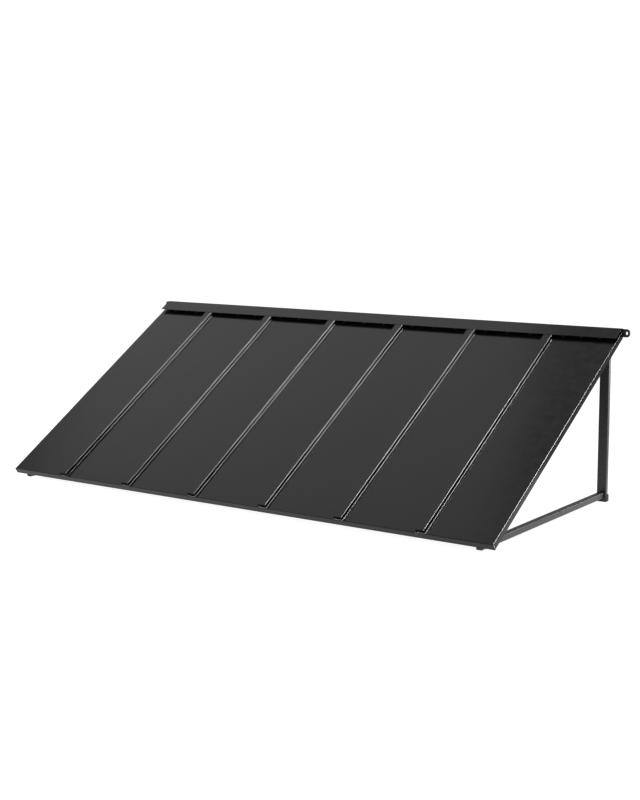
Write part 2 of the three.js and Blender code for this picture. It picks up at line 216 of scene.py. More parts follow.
class AwningFrameSizes(bpy.types.PropertyGroup):
    """Tubes, fittings, welds and screws."""

    wall: length("Tube wall", "Wall of every tube", 0.0015)
    corner: length("Tube corner", "Outer corner radius of every tube", 0.0025)
    rafter_depth: length("Rafter depth", "Height of a rafter on edge", 0.03)
    rail: length("Rail", "Side of a square cross rail", 0.016)
    eave_setback: length("Eave setback", "Eave edge up the slope to the eave rail", 0.042)
    plug_head: length("Plug head", "Thickness of a tube plug's head", 0.0025)
    boot_wall: length("Boot wall", "Wall of a corner boot", 0.0027)
    boot_corner: length("Boot corner", "Corner radius of a corner boot", 0.004)
    boot_height: length("Boot height", "Height of a corner boot's cup", 0.024)
    boot_spigot: length("Boot spigot", "Boot's spigot inside the bottom bar", 0.024)
    weld: length("Weld", "Radius of a weld bead", 0.0022)
    screw: length("Screw", "Width across flats of a screw's head", 0.008)


class AwningFinishes(bpy.types.PropertyGroup):
    """Colours and gloss of the finishes."""

    coat: colour("Roof coat", "Satin black powder coat of the sheets", (0.0045, 0.0046, 0.0048))
    frame_coat: colour("Frame coat", "Satin black powder coat of the tubes", (0.024, 0.024, 0.025))
    roof_roughness: share("Roof roughness", "Roughness of the coated roof sheets", 0.2)
    roof_shine: share("Roof shine", "Mirror strength of the coated roof sheets", 0.28)
    frame_roughness: share("Frame roughness", "Roughness of the coated tubes", 0.38)
    frame_shine: share("Frame shine", "Mirror strength of the coated tubes", 0.45)
    plastic: colour("Plastic", "Black moulded fittings", (0.008, 0.008, 0.0085))
    # Real rib closures, whose near-black matt foam is painted shade for the dark inside the ribs' open ends
    foam: colour("Foam", "Black foam of the rib closures", (0.004, 0.004, 0.0042))
    zinc: colour("Zinc", "Plated steel of clips and screws", (0.58, 0.6, 0.62))


class AwningStageSizes(bpy.types.PropertyGroup):
    """Camera, floor and lights."""

    camera: place("Camera", "Place of the camera", (3.0072, -4.5906, 0.5297))
    azimuth: angle("Azimuth", "Camera to the right of the awning's front", 35.36)
    tilt: angle("Tilt", "Camera's downward look", 8.775)
    roll: angle("Roll", "Camera's lean", -0.222)
    lens: bpy.props.FloatProperty(
        name="Lens", description="Focal length of the camera", default=65.15, unit="CAMERA"
    )
    floor_reach: length("Floor reach", "Radius of the pale floor", 2.2)
    floor_shift: place("Floor shift", "Floor's middle from the awning's middle", (-0.35, -0.45, 0))
    floor: colour("Floor", "Pale floor", (0.8, 0.8, 0.8))
    floor_glow: radiance("Floor glow", "Light that the floor gives by itself", 0.9)
    sky: radiance("Sky", "Soft light from all round", 0.38)
    edge: radiance("Edge light", "Radiance of the overhead light that shows as lines on the bends", 120.0)
    fill: radiance("Fill light", "Radiance of the soft light high on the left", 0.62)
    side: radiance("Side light", "Radiance of the low light on the right that picks out the tubes", 14.0)
    front: radiance("Front light", "Radiance of the low soft light on the front left", 3.4)


# Measures taken from the frame


def corners(node):
    """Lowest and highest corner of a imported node."""
    low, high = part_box(node)
    return np.array(low), np.array(high)


def middle(node):
    low, high = corners(node)
    return (low + high) / 2


class Roof:
    """The roof's own frame: X along the eave, "along" up the slope and "rise" square to it.

    The slope runs from the eave rail to the top rail, and the eave edge lies one setback before the
    eave rail.
    """

    def __init__(self, sizes, tubes):
        eave_rail = middle("eave_rail_left")
        run = middle("top_rail_left") - eave_rail
        slope = math.atan2(run[2], run[1])
        self.cos, self.sin = math.cos(slope), math.sin(slope)
        self.up = np.array([0, self.cos, self.sin])
        self.square = np.array([0, -self.sin, self.cos])
        self.rail_top = -sizes.sheet - sizes.fit
        rail_centre = self.rail_top - tubes.rail / 2
        self.eave = (eave_rail - tubes.eave_setback * self.up - rail_centre * self.square) * [0, 1, 1]
        half = sizes.sheet / 2
        self.flashing_rise = sizes.rib_height + sizes.fit + half
        flashing_high = corners("ridge_flashing")[1]
        level = flashing_high[2] - half - self.eave[2]
        self.length = (level - self.flashing_rise * self.cos) / self.sin
        self.header_front = flashing_high[1]
        self.left = corners("panel_1")[0][0]
        self.right = corners(f"panel_{PAN_COUNT}")[1][0]
        self.ribs = [corners(f"panel_{i + 2}")[0][0] + sizes.rib_width / 2 for i in range(RIB_COUNT)]

    def points(self, x, along, rise):
        """Places (x, along, rise) in the wall's frame, for numbers or whole arrays."""
        x, along, rise = np.broadcast_arrays(x, along, rise)
        y = self.eave[1] + along * self.cos - rise * self.sin
        z = self.eave[2] + along * self.sin + rise * self.cos
        return np.stack([x, y, z], -1)

    def along_at(self, y, rise):
        """How far up the slope a line "rise" above the roof reaches the given Y."""
        return (y - self.eave[1] + rise * self.sin) / self.cos

    def along_at_height(self, z, rise):
        """How far up the slope a line "rise" above the roof reaches the given Z."""
        return (z - self.eave[2] - rise * self.cos) / self.sin

    def local(self, point):
        """Along and rise of a point in the wall's frame."""
        offset = point - self.eave
        return offset @ self.up, offset @ self.square


def measures(context):
    """Sizes of the roof, sizes of the frame and the roof's own frame."""
    scene = context.scene
    return scene.awning_roof, scene.awning_frame, Roof(scene.awning_roof, scene.awning_frame)


# Mesh making


def quads(ids):
    """Faces of a grid of vertex numbers, each turned the same way round."""
    return np.stack([ids[:-1, :-1], ids[:-1, 1:], ids[1:, 1:], ids[1:, :-1]], -1).reshape(-1, 4)


def ringed(ids):
    """A grid of vertex numbers closed round by its first column."""
    return np.concatenate([ids, ids[:, :1]], 1)


def outward(points, faces):
    """The faces of a closed shell, turned round where its signed volume is negative."""
    fans = [(face[0], face[i], face[i + 1]) for face in faces for i in range(1, len(face) - 1)]
    a, b, c = (points[column] for column in np.array(fans).T)
    volume = np.einsum("ij,ij->i", a, np.cross(b, c)).sum()
    return faces if volume > 0 else [face[::-1] for face in faces]


def loft(loops):
    """A closed solid through a stack of equal loops: quads between neighbours and a cap at each end."""
    loops = np.asarray(loops)
    ids = np.arange(loops.shape[0] * loops.shape[1]).reshape(loops.shape[:2])
    points = loops.reshape(-1, 3)
    faces = [*quads(ringed(ids)).tolist(), ids[0, ::-1].tolist(), ids[-1].tolist()]
    return points, outward(points, faces)


def ring(loops):
    """A closed shell through loops whose last joins the first again, such as a hollow tube."""
    loops = np.asarray(loops)
    ids = np.arange(loops.shape[0] * loops.shape[1]).reshape(loops.shape[:2])
    points = loops.reshape(-1, 3)
    faces = quads(ringed(np.concatenate([ids, ids[:1]]))).tolist()
    return points, outward(points, faces)


def joined(shells):
    """Several closed shells as the points and faces of one mesh."""
    points, faces, count = [], [], 0
    for shell_points, shell_faces in shells:
        points.append(shell_points)
        faces += [[count + i for i in face] for face in shell_faces]
        count += len(shell_points)
    return np.concatenate(points), faces


def new_piece(name, points, faces, material, slot, *nodes):
    """A smooth mesh object at the origin that rides on the body and stands for the named nodes."""
    mesh = bpy.data.meshes.new(name)
    mesh.from_pydata(np.asarray(points).reshape(-1, 3).tolist(), [], faces)
    mesh.shade_smooth()
    mesh.materials.append(material)
    piece = bpy.data.objects.new(name, mesh)
    bpy.context.scene.collection.objects.link(piece)
    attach(piece, BODY)
    if nodes:
        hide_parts(*nodes)
    return piece


def thicken(piece, thickness):
    """Half the sheet's thickness on each side of its centre surface."""
    solidify = piece.modifiers.new("sheet", "SOLIDIFY")
    solidify.thickness = thickness
    solidify.offset = 0
    solidify.use_even_offset = True
    solidify.use_quality_normals = True


def ease_edges(piece, radius):
    """Rounds every edge sharper than a bend and lets the large faces set the shading."""
    bevel = piece.modifiers.new("edges", "BEVEL")
    bevel.width = radius
    bevel.segments = 2
    bevel.limit_method = "ANGLE"
    bevel.angle_limit = SHARP
    weighted = piece.modifiers.new("shading", "WEIGHTED_NORMAL")
    weighted.keep_sharp = False


def unit(vector):
    return vector / np.linalg.norm(vector)


def bent_line(path, radii):
    """Centre line of a folded sheet: straight runs joined by arcs.

    An arc of radius r that turns by t starts r * tan(t / 2) before its corner, and its points are the
    start turned round the arc's centre in equal steps.
    """
    path = np.asarray(path, float)
    runs = [path[:1]]
    for before, corner, after, radius in zip(path, path[1:], path[2:], radii):
        incoming, outgoing = unit(corner - before), unit(after - corner)
        turn = math.atan2(incoming[0] * outgoing[1] - incoming[1] * outgoing[0], incoming @ outgoing)
        start = corner - incoming * radius * math.tan(abs(turn) / 2)
        centre = start + radius * math.copysign(1, turn) * np.array([-incoming[1], incoming[0]])
        arm = start - centre
        turns = np.linspace(0, turn, math.ceil(abs(turn) / BEND_STEP) + 1)
        spin = np.stack([np.cos(turns), np.sin(turns)], -1)
        arc = centre + np.stack([spin @ [arm[0], -arm[1]], spin @ [arm[1], arm[0]]], -1)
        runs.append(arc)
    line = np.concatenate([*runs, path[-1:]])
    steps = np.linalg.norm(np.diff(line, axis=0), axis=1)
    return line[np.concatenate([[True], steps > 1e-7])]


def rounded_loop(width, height, corner, levels=()):
    """A rounded rectangle, counter-clockwise: four quarter arcs round the inset corners.

    "levels" are heights at which both upright sides get a point of their own.
    """
    quarter = np.linspace(0, math.pi / 2, CORNER_STEPS + 1)
    right, top = width / 2 - corner, height / 2 - corner
    levels = np.sort(np.asarray(levels, float))
    side = np.full_like(levels, width / 2)

    def arc(centre_x, centre_y, start):
        return np.stack([
            centre_x + corner * np.cos(quarter + start),
            centre_y + corner * np.sin(quarter + start),
        ], -1)

    return np.concatenate([
        arc(right, -top, -math.pi / 2),
        np.stack([side, levels], -1),
        arc(right, top, 0),
        arc(-right, top, math.pi / 2),
        np.stack([-side, levels[::-1]], -1),
        arc(-right, -top, math.pi),
    ])


# Finishes


def node(tree, kind, **inputs):
    """A new shader node with its sockets set by name, underscores standing for spaces."""
    made = tree.nodes.new(kind)
    for name, value in inputs.items():
        made.inputs[name.replace("_", " ")].default_value = value
    return made


def blank_material(name):
    """A material with an empty Principled shader, its node tree and Object coordinates."""
    material = bpy.data.materials.new(name)
    material.use_nodes = True
    tree = material.node_tree
    shader = tree.nodes["Principled BSDF"]
    coordinates = tree.nodes.new("ShaderNodeTexCoord").outputs["Object"]
    return material, tree, shader, coordinates


def noise(tree, coordinates, scale, detail=2.0, roughness=0.5):
    made = node(tree, "ShaderNodeTexNoise", Scale=scale, Detail=detail, Roughness=roughness)
    tree.links.new(coordinates, made.inputs["Vector"])
    return made.outputs["Fac"]


def ranged(tree, value, low, high):
    """A texture value from its usual 0.3 to 0.7 spread over the given range."""
    made = node(tree, "ShaderNodeMapRange", From_Min=0.3, From_Max=0.7, To_Min=low, To_Max=high)
    tree.links.new(value, made.inputs["Value"])
    return made.outputs["Result"]


def tinted(tree, value, dark, light):
    """A colour between two others by a texture value."""
    made = tree.nodes.new("ShaderNodeValToRGB")
    made.color_ramp.elements[0].position = 0.3
    made.color_ramp.elements[0].color = (*dark, 1)
    made.color_ramp.elements[1].position = 0.7
    made.color_ramp.elements[1].color = (*light, 1)
    tree.links.new(value, made.inputs["Fac"])
    return made.outputs["Color"]


def bumped(tree, shader, height, strength, distance):
    made = node(tree, "ShaderNodeBump", Strength=strength, Distance=distance)
    tree.links.new(height, made.inputs["Height"])
    tree.links.new(made.outputs["Normal"], shader.inputs["Normal"])


def shaded(base, factor):
    return tuple(min(1.0, channel * factor) for channel in base)


def made_once(make):
    """Lets a finish be made at its first use and found by its name after that."""
    def find(name, *values):
        return bpy.data.materials.get(name) or make(name, *values)
    return find


@made_once
def powder_coat(name, base, roughness, shine):
    """Satin powder coat: orange peel of about 2 mm, cloudy gloss and a faintly uneven film."""
    material, tree, shader, coordinates = blank_material(name)
    cloud = noise(tree, coordinates, 5, 4)
    film = tinted(tree, cloud, shaded(base, 0.88), shaded(base, 1.12))
    tree.links.new(film, shader.inputs["Base Color"])
    gloss = ranged(tree, noise(tree, coordinates, 38, 5, 0.6), roughness - 0.03, roughness + 0.03)
    tree.links.new(gloss, shader.inputs["Roughness"])
    shader.inputs["Specular IOR Level"].default_value = shine
    bumped(tree, shader, noise(tree, coordinates, 480, 2), 0.06, 0.00012)
    return material


@made_once
def moulded_plastic(name, base):
    """Black moulded plastic: a fine spark-eroded grain and slightly uneven gloss."""
    material, tree, shader, coordinates = blank_material(name)
    film = tinted(tree, noise(tree, coordinates, 60, 3), shaded(base, 0.8), shaded(base, 1.3))
    tree.links.new(film, shader.inputs["Base Color"])
    tree.links.new(ranged(tree, noise(tree, coordinates, 140, 3), 0.48, 0.6), shader.inputs["Roughness"])
    bumped(tree, shader, noise(tree, coordinates, 1900, 3), 0.3, 0.0001)
    return material


@made_once
def shade_black_foam(name, base):
    """Black closed-cell foam: small cells, fully matt, near black so that the closures give painted shade
    in the ribs' open ends.
    """
    material, tree, shader, coordinates = blank_material(name)
    cells = node(tree, "ShaderNodeTexVoronoi", Scale=900)
    tree.links.new(coordinates, cells.inputs["Vector"])
    film = tinted(tree, cells.outputs["Distance"], shaded(base, 0.5), base)
    tree.links.new(film, shader.inputs["Base Color"])
    shader.inputs["Roughness"].default_value = 0.95
    shader.inputs["Specular IOR Level"].default_value = 0.05
    bumped(tree, shader, cells.outputs["Distance"], 0.4, 0.0003)
    return material


@made_once
def zinc_plate(name, base):
    """Zinc-plated steel: small crystal flakes of slightly different brightness and gloss."""
    material, tree, shader, coordinates = blank_material(name)
    shader.inputs["Metallic"].default_value = 1.0
    flakes = node(tree, "ShaderNodeTexVoronoi", Scale=420)
    tree.links.new(coordinates, flakes.inputs["Vector"])
    film = tinted(tree, flakes.outputs["Color"], shaded(base, 0.8), shaded(base, 1.1))
    tree.links.new(film, shader.inputs["Base Color"])
    tree.links.new(ranged(tree, noise(tree, coordinates, 220, 4), 0.3, 0.45), shader.inputs["Roughness"])
    bumped(tree, shader, flakes.outputs["Distance"], 0.08, 0.0001)
    return material


def roof_coat(context):
    look = context.scene.awning_finishes
    return powder_coat("roof_coat", look.coat, look.roof_roughness, look.roof_shine)


def frame_coat(context):
    look = context.scene.awning_finishes
    return powder_coat("frame_coat_black", look.frame_coat, look.frame_roughness, look.frame_shine)


def fitting_plastic(context):
    return moulded_plastic("fitting_plastic", context.scene.awning_finishes.plastic)


# Foam of the rib closures: a real block whose near-black matt finish is painted shade in the ribs' open
# ends
def closure_foam(context):
    return shade_black_foam("closure_foam", context.scene.awning_finishes.foam)


def clip_zinc(context):
    return zinc_plate("clip_zinc", context.scene.awning_finishes.zinc)


def dress(name, material):
    """Gives a carried-over node its finish."""
    for slot in frame["nodes"][name].material_slots:
        slot.material = material


# Roof sheets


def rib_cover(sizes, rib):
    """The rib on a pan's left edge, from its snap lip over the top to the start of the flat."""
    half = sizes.sheet / 2
    leg = sizes.rib_width / 2 - half
    top = sizes.rib_height - half
    lip = sizes.fit + half
    flat = rib + sizes.rib_width / 2 + half + sizes.bend
    path = [
        (rib - leg + sizes.lip_reach, lip + sizes.lip_rise),
        (rib - leg, lip),
        (rib - leg, top),
        (rib + leg, top),
        (rib + leg, -half),
        (flat, -half),
    ]
    return bent_line(path, [sizes.lip_bend, sizes.bend, sizes.bend, sizes.bend])


def hooked_edge(sizes, rib):
    """The upstand on a pan's right edge, from the end of the flat to the hook's tip inside the next rib."""
    half = sizes.sheet / 2
    leg = rib - sizes.rib_width / 2 + sizes.hook_inset
    flat = rib - sizes.rib_width / 2 - sizes.fit
    tip = (
        leg - sizes.hook_reach * math.cos(sizes.hook_droop),
        sizes.hook_height - sizes.hook_reach * math.sin(sizes.hook_droop),
    )
    path = [(flat, -half), (leg, -half), (leg, sizes.hook_height), tip]
    return bent_line(path, [sizes.bend, sizes.lip_bend])


def end_flange(sizes, end):
    """The edge turned down at a roof end, from its free edge to the flat."""
    half = sizes.sheet / 2
    inward = -math.copysign(1, end)
    centre = end + inward * half
    flat = end + inward * (half + sizes.bend + sizes.fit)
    return bent_line([(centre, -sizes.flange_depth), (centre, -half), (flat, -half)], [sizes.bend])


def hem_line(sizes, start):
    """The eave fold in (along, rise): from the flat over the bend, down the front and back up inside."""
    half = sizes.sheet / 2
    inner = half + 2 * sizes.sheet
    bottom = half - sizes.hem_depth
    path = [
        (start, -half),
        (half, -half),
        (half, bottom),
        (inner, bottom),
        (inner, sizes.hem_return - sizes.hem_depth),
    ]
    return bent_line(path, [sizes.bend, sizes.sheet, sizes.sheet])


def sheet_crown(sizes, across, along, number):
    """Soft waviness of a flat sheet: two slow waves up the slope under a window that is nil at all edges.

    It only rises, so that the sheet stays clear of the rails.
    """
    window = np.sin(math.pi * across) ** 2 * np.sin(math.pi * along) ** 0.5
    phase = number * WAVE_SHIFT
    slow = np.sin(2 * math.pi * (SLOW_WAVES * along + phase + 0.2 * across))
    quick = np.sin(2 * math.pi * (QUICK_WAVES * along + 2 * phase - 0.3 * across))
    return sizes.crown * window * (0.5 + 0.3 * slow + 0.2 * quick)


def pan_sheet(sizes, roof, number):
    """Centre surface of one roof pan.

    The cross profile (rib cover or flange, flat, hook or flange) is carried up the slope from the eave
    notch to the ridge. The flat's lower edge runs on over the eave into the hem, whose tab passes below
    the rib.
    """
    left_rib = roof.ribs[number - 2] if number > 1 else None
    right_rib = roof.ribs[number - 1] if number < PAN_COUNT else None
    left = end_flange(sizes, roof.left) if left_rib is None else rib_cover(sizes, left_rib)
    right = end_flange(sizes, roof.right)[::-1] if right_rib is None else hooked_edge(sizes, right_rib)
    flat = np.linspace(left[-1], right[0], FLAT_COLUMNS)
    profile = np.concatenate([left, flat[1:-1], right])
    first, last = len(left) - 1, len(left) + FLAT_COLUMNS - 2

    half = sizes.sheet / 2
    start = half + sizes.bend + sizes.notch
    upright = roof.along_at(roof.header_front, profile[:, 1])
    end = np.minimum(roof.length - sizes.ridge_setback, upright)
    step = np.linspace(0, 1, PAN_ROWS)[:, None]
    along = start + step * (end - start)
    across = np.clip((profile[:, 0] - flat[0, 0]) / (flat[-1, 0] - flat[0, 0]), 0, 1)
    rise = profile[:, 1] + sheet_crown(sizes, across, step, number)
    body = roof.points(profile[:, 0], along, rise)
    body_ids = np.arange(body[..., 0].size).reshape(along.shape)

    hem = hem_line(sizes, start)[1:]
    hem_left = roof.left if left_rib is None else left_rib - sizes.rib_width / 2 + sizes.fit
    hem_right = roof.right if right_rib is None else flat[-1, 0]
    left_tab = np.linspace(hem_left, flat[0, 0], 6)[:-1]
    right_tab = np.linspace(flat[-1, 0], hem_right, 3)[1:] if right_rib is None else np.empty(0)
    columns = np.concatenate([left_tab, flat[:, 0], right_tab])
    fold = roof.points(columns, hem[:, :1], hem[:, 1:])
    fold_ids = body_ids.size + np.arange(fold[..., 0].size).reshape(fold.shape[:2])
    lap = fold_ids[0, len(left_tab):len(left_tab) + FLAT_COLUMNS]
    seam = np.stack([lap, body_ids[0, first:last + 1]])

    points = np.concatenate([body.reshape(-1, 3), fold.reshape(-1, 3)])
    faces = np.concatenate([quads(body_ids), quads(seam), quads(fold_ids[::-1])])
    return points, faces.tolist()


class AWNING_OT_roof_pans(bpy.types.Operator):
    """Make the seven standing-seam roof pans"""

    bl_idname = "awning.roof_pans"
    bl_label = "Roof pans"

    def execute(self, context):
        sizes, _, roof = measures(context)
        for number in range(1, PAN_COUNT + 1):
            points, faces = pan_sheet(sizes, roof, number)
            name = f"roof_pan_{number}"
            pan = new_piece(name, points, faces, roof_coat(context), "roof_sheet", f"panel_{number}")
            thicken(pan, sizes.sheet)
            ease_edges(pan, sizes.sheet / 4)
        return {"FINISHED"}


class AWNING_OT_ridge_flashing(bpy.types.Operator):
    """Make the flashing that laps the ribs and hooks down in front of the header bar"""

    bl_idname = "awning.ridge_flashing"
    bl_label = "Ridge flashing"

    def execute(self, context):
        sizes, _, roof = measures(context)
        lip = roof.points(0, roof.length - sizes.flashing_lap, roof.flashing_rise)[1:]
        ridge = roof.points(0, roof.length, roof.flashing_rise)[1:]
        hook_y = roof.header_front - sizes.sheet / 2
        hook_z = roof.points(0, roof.along_at(hook_y, 0), 0)[2] + sizes.hook_gap
        line = bent_line([lip, ridge, (hook_y, ridge[1]), (hook_y, hook_z)], [sizes.bend, sizes.bend])
        x = np.linspace(roof.left, roof.right, FLASHING_COLUMNS)
        grid = np.stack(np.broadcast_arrays(x, line[:, :1], line[:, 1:]), -1)
        ids = np.arange(grid[..., 0].size).reshape(grid.shape[:2])
        flashing = new_piece(
            "flashing", grid, quads(ids).tolist(), roof_coat(context), "roof_sheet", "ridge_flashing"
        )
        thicken(flashing, sizes.sheet)
        ease_edges(flashing, sizes.sheet / 4)
        return {"FINISHED"}


# Tube frame


def tube_loops(tubes, width, height, levels=()):
    """Outer and inner loop of a tube's section, point for point."""
    bore_corner = max(tubes.corner - tubes.wall, tubes.wall / 2)
    outer = rounded_loop(width, height, tubes.corner, levels)
    inner = rounded_loop(width - 2 * tubes.wall, height - 2 * tubes.wall, bore_corner, levels)
    return outer, inner


def hollow(outer, inner, carry, start, end):
    """A tube: out along the outer wall, over the rim, back along the bore. Ends may be slanted."""
    loops = [
        carry(outer, start(outer)),
        carry(outer, end(outer)),
        carry(inner, end(inner)),
        carry(inner, start(inner)),
    ]
    return ring(loops)


def level_end(value):
    """A square tube end: every point of the loop stops at the same place."""
    return lambda loop: np.full(len(loop), value)


def carrier(centre, axis):
    """Sets a section's loop square to Y (axis 1) or Z (axis 2): its width on X, its height on the other."""
    other = 3 - axis

    def carry(loop, level):
        points = np.empty((len(loop), 3))
        points[:, 0] = centre[0] + loop[:, 0]
        points[:, other] = centre[other] + loop[:, 1]
        points[:, axis] = level
        return points

    return carry


def straight_tube(tubes, name, axis):
    """A bottom bar (axis 1) or a post (axis 2) between the ends of its node."""
    low, high = corners(name)
    size = high - low
    loops = tube_loops(tubes, size[0], size[3 - axis])
    return hollow(*loops, carrier((low + high) / 2, axis), level_end(low[axis]), level_end(high[axis]))


def rail_tube(tubes, roof, name):
    low, high = corners(name)
    along, rise = roof.local(middle(name))

    def carry(loop, x):
        return roof.points(x, along + loop[:, 0], rise + loop[:, 1])

    return hollow(*tube_loops(tubes, tubes.rail, tubes.rail), carry, level_end(low[0]), level_end(high[0]))


def rafter_tube(tubes, roof, name):
    """A rafter on edge: square at the eave, level on the bottom bar, upright at its top.

    Each point of the section runs from the later of the square and the level cut to the upright one.
    """
    low, high = corners(name)
    centre = (low[0] + high[0]) / 2
    rise = roof.rail_top - tubes.rafter_depth / 2
    square_cut = roof.along_at(low[1], roof.rail_top)
    meeting = (low[2] - roof.eave[2] - square_cut * roof.sin) / roof.cos - rise

    def carry(loop, along):
        return roof.points(centre + loop[:, 0], along, rise + loop[:, 1])

    def foot(loop):
        return np.maximum(square_cut, roof.along_at_height(low[2], rise + loop[:, 1]))

    def head(loop):
        return roof.along_at(high[1], rise + loop[:, 1])

    loops = tube_loops(tubes, high[0] - low[0], tubes.rafter_depth, [meeting])
    return hollow(*loops, carry, foot, head)


class AWNING_OT_tubes(bpy.types.Operator):
    """Make the posts, bottom bars, rafters and cross rails"""

    bl_idname = "awning.tubes"
    bl_label = "Tube frame"

    def execute(self, context):
        _, tubes, roof = measures(context)
        shells = {f"{side}_post": straight_tube(tubes, f"{side}_post", 2) for side in SIDES}
        shells |= {f"{side}_bottom_bar": straight_tube(tubes, f"{side}_bottom_bar", 1) for side in SIDES}
        for side in RAFTERS:
            shells[f"{side}_rafter"] = rafter_tube(tubes, roof, f"{side}_rafter")
        for row in RAIL_ROWS:
            for side in SIDES:
                shells[f"{row}_rail_{side}"] = rail_tube(tubes, roof, f"{row}_rail_{side}")
        for name, (points, faces) in shells.items():
            tube = new_piece(f"tube_{name}", points, faces, frame_coat(context), "frame_coat", name)
            ease_edges(tube, tubes.wall / 5)
        return {"FINISHED"}


class AWNING_OT_header_bar(bpy.types.Operator):
    """Coat the flat header bar with its slotted ears"""

    bl_idname = "awning.header_bar"
    bl_label = "Header bar"

    def execute(self, context):
        dress("header_bar", frame_coat(context))
        return {"FINISHED"}


# Moulded fittings


def stacked(stations, carry):
    """A moulding through rounded rectangles: each station is (width, depth, corner, height)."""
    return loft([carry(rounded_loop(*station[:3]), station[3]) for station in stations])


def plug_stations(tubes, width, depth, long):
    """Height 0 is the head's outer face, and the spigot hangs below the head with a lead-in at its end."""
    ease = tubes.plug_head / 3
    shrink = 2 * (tubes.wall + ease / 2)
    spigot = (width - shrink, depth - shrink)
    bore_corner = tubes.wall / 2
    return [
        (width - 5 * ease, depth - 5 * ease, tubes.corner / 2, 0),
        (width - 2 * ease, depth - 2 * ease, tubes.corner, -ease / 8),
        (width - 0.6 * ease, depth - 0.6 * ease, tubes.corner, -0.45 * ease),
        (width, depth, tubes.corner, -ease),
        (width, depth, tubes.corner, -tubes.plug_head),
        (*spigot, bore_corner, -tubes.plug_head),
        (*spigot, bore_corner, -long + 2 * ease),
        (spigot[0] - 2 * ease, spigot[1] - 2 * ease, bore_corner, -long),
    ]


class AWNING_OT_plugs(bpy.types.Operator):
    """Make the plugs in the posts' tops and the bottom bars' front ends"""

    bl_idname = "awning.plugs"
    bl_label = "Tube plugs"

    def execute(self, context):
        _, tubes, _ = measures(context)
        for side in SIDES:
            self.plug(context, tubes, f"{side}_post_plug", 2, 1)
            self.plug(context, tubes, f"{side}_bar_plug", 1, -1)
        return {"FINISHED"}

    @staticmethod
    def plug(context, tubes, name, axis, way):
        """A plug whose head looks along its axis, forwards or backwards by its way of 1 or -1."""
        low, high = corners(name)
        size = high - low
        head = high[axis] if way > 0 else low[axis]
        stations = [
            (width, depth, corner, head + way * level)
            for width, depth, corner, level in plug_stations(tubes, size[0], size[3 - axis], size[axis])
        ]
        points, faces = stacked(stations, carrier((low + high) / 2, axis))
        made = new_piece(f"plug_{name}", points, faces, fitting_plastic(context), "black_plastic", name)
        ease_edges(made, SMALL_EDGE)


def boot_cup(tubes, low, high, front):
    """The boot's cup: up the outer wall, over a rounded rim, down the inner wall to the floor."""
    width, depth = high[0] - low[0], high[1] - front
    centre = ((low[0] + high[0]) / 2, (high[1] + front) / 2)
    wall, corner = tubes.boot_wall, tubes.boot_corner
    top = low[2] + tubes.boot_height
    ease = wall / 4
    inner = (width - 2 * wall, depth - 2 * wall - ease / 2)
    stations = [
        (width - 3 * ease, depth - 3 * ease, corner, low[2]),
        (width - 0.9 * ease, depth - 0.9 * ease, corner, low[2] + 0.45 * ease),
        (width, depth, corner, low[2] + 1.5 * ease),
        (width, depth, corner, top - 1.5 * ease),
        (width - 0.6 * ease, depth - 0.6 * ease, corner, top - 0.5 * ease),
        (width - 2 * ease, depth - 2 * ease, corner, top),
        (inner[0] + 1.5 * ease, inner[1] + 1.5 * ease, tubes.corner, top),
        (*inner, tubes.corner, top - ease),
        (*inner, tubes.corner, low[2] + wall),
    ]
    return stacked(stations, carrier(centre, 2))


def boot_seat(tubes, low, high, front):
    """The boot's upright pad behind the bottom bar, with the spigot that goes into the bar."""
    bar_low, bar_high = corners("left_bottom_bar")
    bar_width, bar_height = bar_high[0] - bar_low[0], bar_high[2] - bar_low[2]
    centre = ((low[0] + high[0]) / 2, 0, (bar_low[2] + bar_high[2]) / 2)
    ease = tubes.boot_wall / 4
    shrink = 2 * (tubes.wall + ease / 2)
    pad = [
        (bar_width - ease, bar_height - ease, tubes.corner, front + 0.9 * tubes.boot_wall),
        (bar_width, bar_height, tubes.corner, front + ease),
        (bar_width - ease, bar_height - ease, tubes.corner, front + ease / 4),
        (bar_width - shrink, bar_height - shrink, tubes.wall / 2, front + ease / 4),
        (bar_width - shrink, bar_height - shrink, tubes.wall / 2, low[1] + 2 * ease),
        (bar_width - shrink - 2 * ease, bar_height - shrink - 2 * ease, tubes.wall / 2, low[1]),
    ]
    return stacked(pad, carrier(centre, 1))


class AWNING_OT_corner_boots(bpy.types.Operator):
    """Make the moulded boots at the posts' feet"""

    bl_idname = "awning.corner_boots"
    bl_label = "Corner boots"

    def execute(self, context):
        _, tubes, _ = measures(context)
        for side in SIDES:
            low, high = corners(f"{side}_corner_boot")
            front = low[1] + tubes.boot_spigot
            shells = [boot_cup(tubes, low, high, front), boot_seat(tubes, low, high, front)]
            finish = fitting_plastic(context)
            boot = new_piece(
                f"boot_{side}", *joined(shells), finish, "black_plastic", f"{side}_corner_boot"
            )
            ease_edges(boot, BOOT_EDGE)
        return {"FINISHED"}


# Welds, clips and screws


def weld_bead(start, end, radius):
    """A weld bead between two points: a rippled tube whose radius closes to nothing at both ends.

    The radius is r * (1 - |2t - 1| ** 6) ** 0.5 with a ripple of one wave per bead radius.
    """
    start, end = np.asarray(start, float), np.asarray(end, float)
    run = end - start
    axis = unit(run)
    side = unit(np.cross(axis, SKEW))
    lift = np.cross(axis, side)
    t = np.linspace(0.002, 0.998, BEAD_RINGS)[:, None, None]
    turn = np.linspace(0, 2 * math.pi, BEAD_SIDES, endpoint=False)[None, :, None]
    ripple = 1 + 0.1 * np.sin(2 * math.pi * t * np.linalg.norm(run) / (1.3 * radius))
    swell = radius * np.sqrt(1 - np.abs(2 * t - 1) ** 6) * ripple
    return loft(start + t * run + swell * (np.cos(turn) * side + np.sin(turn) * lift))


